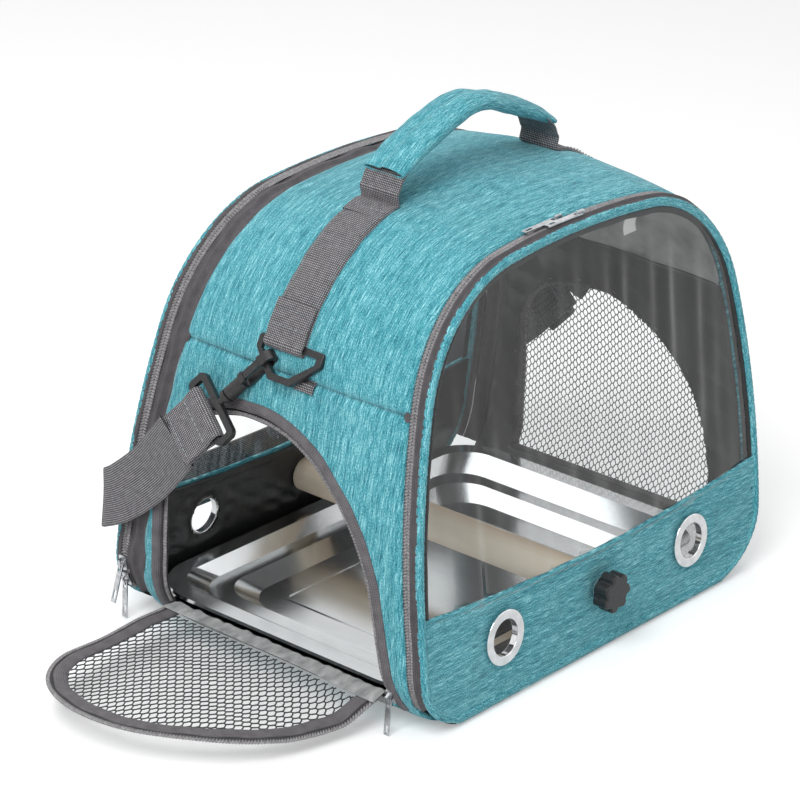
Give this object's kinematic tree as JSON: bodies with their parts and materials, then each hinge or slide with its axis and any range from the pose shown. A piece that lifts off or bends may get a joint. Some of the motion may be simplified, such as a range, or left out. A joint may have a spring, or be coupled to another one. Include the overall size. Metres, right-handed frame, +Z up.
{
  "type": "bird travel carrier",
  "caption": "Soft-sided bird travel carrier with zipped window panels, a fold-down net door, lift-out tray, perch on star knobs, padded handle and shoulder strap.",
  "frame": {"origin": "on the ground under the middle of the cabin", "axes": "+Z up; X along the window panels, with the door wall facing -X; Y across the depth, with the front window panel facing -Y"},
  "size_m": [0.5455, 0.3103, 0.3598],
  "materials": {
    "base_fabric": "coated woven cloth",
    "binding": "ribbed binding tape",
    "black_plastic": "moulded, satin gloss",
    "eyelet_metal": "bright plated",
    "lining": "coated cloth, slight gloss",
    "net": "open knitted net",
    "steel": "bright rolled stainless steel",
    "teal_fabric": "woven melange polyester",
    "webbing": "ribbed webbing",
    "window_film": "clear soft film",
    "wood": "plain sanded softwood",
    "zinc": "plated zinc",
    "zip_tape": "zip tape with nylon coil"
  },
  "bodies": {
    "bag": {"roof": "teal_fabric", "left_wall": "teal_fabric", "right_wall": "teal_fabric", "base": "base_fabric", "cabin_lining": "lining", "door_frame_binding": "binding", "door_frame_zip": "zip_tape", "window_binding": "binding", "window_net": "net", "front_cabin_zip": "zip_tape", "back_cabin_zip": "zip_tape", "handle_grip": "teal_fabric", "left_handle_webbing": "webbing", "right_handle_webbing": "webbing", "left_ring": "black_plastic", "right_ring": "black_plastic", "left_ring_tab": "webbing", "right_ring_tab": "webbing", "left_eye": "black_plastic", "right_eye": "black_plastic", "shoulder_strap": "webbing"},
    "door": {"door_binding": "binding", "door_zip_half": "zip_tape", "door_net": "net"},
    "front_panel": {"front_piping": "teal_fabric", "front_panel_zip": "zip_tape", "front_window": "window_film", "front_band": "teal_fabric", "front_band_lining": "lining", "front_eyelets": "eyelet_metal"},
    "front_washer": {"front_washer": "zinc"},
    "front_knob": {"front_knob": "black_plastic", "front_stud": "zinc"},
    "back_panel": {"back_piping": "teal_fabric", "back_panel_zip": "zip_tape", "back_window": "window_film", "back_band": "teal_fabric", "back_band_lining": "lining", "back_eyelets": "eyelet_metal"},
    "back_washer": {"back_washer": "zinc"},
    "back_knob": {"back_knob": "black_plastic", "back_stud": "zinc"},
    "tray": {"tray": "steel"},
    "perch": {"perch": "wood"},
    "front_left_slider": {"front_left_slider": "zinc"},
    "front_left_pull": {"front_left_pull": "zinc"},
    "front_right_slider": {"front_right_slider": "zinc"},
    "front_right_pull": {"front_right_pull": "zinc"},
    "back_upper_slider": {"back_upper_slider": "zinc"},
    "back_upper_pull": {"back_upper_pull": "zinc"},
    "back_lower_slider": {"back_lower_slider": "zinc"},
    "back_lower_pull": {"back_lower_pull": "zinc"},
    "door_slider": {"door_slider": "zinc"},
    "door_pull": {"door_pull": "zinc"},
    "left_hook": {"left_hook": "black_plastic"},
    "left_gate": {"left_gate": "black_plastic"},
    "right_hook": {"right_hook": "black_plastic"},
    "right_gate": {"right_gate": "black_plastic"},
    "adjuster": {"strap_adjuster": "black_plastic"}
  },
  "joints": [
    {"name": "front_panel_fold", "type": "hinge", "parent": "bag", "child": "front_panel", "pos_m": [0, -0.132, 0.006], "axis": [1, 0, 0], "range_deg": [0, 55]},
    {"name": "front_washer_slide", "type": "slide", "parent": "front_panel", "child": "front_washer", "axis": [0, -1, 0], "range_m": [0, 0.008]},
    {"name": "front_knob_turn", "type": "hinge", "parent": "front_washer", "child": "front_knob", "pos_m": [0, -0.1346, 0.0475], "axis": [0, -1, 0], "range_deg": [0, 2880]},
    {"name": "back_panel_fold", "type": "hinge", "parent": "bag", "child": "back_panel", "pos_m": [0, 0.132, 0.006], "axis": [-1, 0, 0], "range_deg": [0, 55], "deforming": ["shoulder_strap"]},
    {"name": "back_washer_slide", "type": "slide", "parent": "back_panel", "child": "back_washer", "axis": [0, 1, 0], "range_m": [0, 0.008]},
    {"name": "back_knob_turn", "type": "hinge", "parent": "back_washer", "child": "back_knob", "pos_m": [0, 0.1346, 0.0475], "axis": [0, 1, 0], "range_deg": [0, 2880]},
    {"name": "door_fold", "type": "hinge", "parent": "bag", "child": "door", "pos_m": [-0.1802, -0.009, 0.0223], "axis": [0, 1, 0], "range_deg": [0, 90]},
    {"name": "tray_lift", "type": "slide", "parent": "bag", "child": "tray", "axis": [0, 0, 1], "range_m": [0, 0.006]},
    {"name": "perch_turn", "type": "hinge", "parent": "bag", "child": "perch", "pos_m": [0, 0, 0.0475], "axis": [0, 1, 0], "range_deg": [-180, 180]},
    {"name": "front_left_slider_run", "type": "hinge", "parent": "bag", "child": "front_left_slider", "pos_m": [0, -0.1783, -0.37876], "axis": [0, -0.9923, 0.1236], "range_deg": [0, 4]},
    {"name": "front_left_pull_swing", "type": "hinge", "parent": "front_left_slider", "child": "front_left_pull", "pos_m": [-0.01452, -0.09163, 0.30105], "axis": [0, -1, 0], "range_deg": [-150, 0]},
    {"name": "front_right_slider_run", "type": "hinge", "parent": "bag", "child": "front_right_slider", "pos_m": [0, -0.1783, -0.37876], "axis": [0, -0.9923, 0.1236], "range_deg": [-4, 0]},
    {"name": "front_right_pull_swing", "type": "hinge", "parent": "front_right_slider", "child": "front_right_pull", "pos_m": [0.003, -0.09641, 0.30119], "axis": [0, -1, 0], "range_deg": [-150, 0]},
    {"name": "back_upper_slider_run", "type": "hinge", "parent": "bag", "child": "back_upper_slider", "pos_m": [-0.1385, 0.1255, 0.049], "axis": [0, 1, 0], "range_deg": [0, 8]},
    {"name": "back_upper_pull_swing", "type": "hinge", "parent": "back_upper_slider", "child": "back_upper_pull", "pos_m": [-0.18821, 0.1255, 0.04201], "axis": [0, -1, 0], "range_deg": [-100, 0]},
    {"name": "back_lower_slider_run", "type": "hinge", "parent": "bag", "child": "back_lower_slider", "pos_m": [-0.1385, 0.1255, 0.049], "axis": [0, 1, 0], "range_deg": [-7, 0]},
    {"name": "back_lower_pull_swing", "type": "hinge", "parent": "back_lower_slider", "child": "back_lower_pull", "pos_m": [-0.18436, 0.1255, 0.02858], "axis": [0, -1, 0], "range_deg": [-30, 0]},
    {"name": "door_slider_run", "type": "hinge", "parent": "bag", "child": "door_slider", "pos_m": [-0.1385, -0.10805, 0.049], "axis": [0, 1, 0], "range_deg": [0, 10]},
    {"name": "door_pull_swing", "type": "hinge", "parent": "door_slider", "child": "door_pull", "pos_m": [-0.18546, -0.10805, 0.02508], "axis": [0, -1, 0], "range_deg": [-100, 0]},
    {"name": "left_hook_swivel", "type": "hinge", "parent": "bag", "child": "left_hook", "pos_m": [-0.17546, 0.0107, 0.21955], "axis": [-0.316, 0.598, -0.7366], "range_deg": [-5, 5]},
    {"name": "left_gate_open", "type": "hinge", "parent": "left_hook", "child": "left_gate", "pos_m": [-0.18502, 0.02171, 0.20815], "axis": [-0.3003, -0.7995, -0.5202], "range_deg": [-14, 0]},
    {"name": "right_hook_swivel", "type": "hinge", "parent": "bag", "child": "right_hook", "pos_m": [0.17546, 0.0107, 0.21955], "axis": [-0.316, -0.598, 0.7366], "range_deg": [-5, 5]},
    {"name": "right_gate_open", "type": "hinge", "parent": "right_hook", "child": "right_gate", "pos_m": [0.18502, 0.02171, 0.20815], "axis": [-0.3003, 0.7995, 0.5202], "range_deg": [-14, 0]},
    {"name": "adjuster_slide", "type": "slide", "parent": "bag", "child": "adjuster", "axis": [-0.0791, 0.6693, -0.7388], "range_m": [0, 0.02]}
  ],
  "couplings": [
    {"joint": "front_knob_turn", "follows": "front_washer_slide", "rad_per_m": 6283.2},
    {"joint": "back_knob_turn", "follows": "back_washer_slide", "rad_per_m": 6283.2}
  ]
}
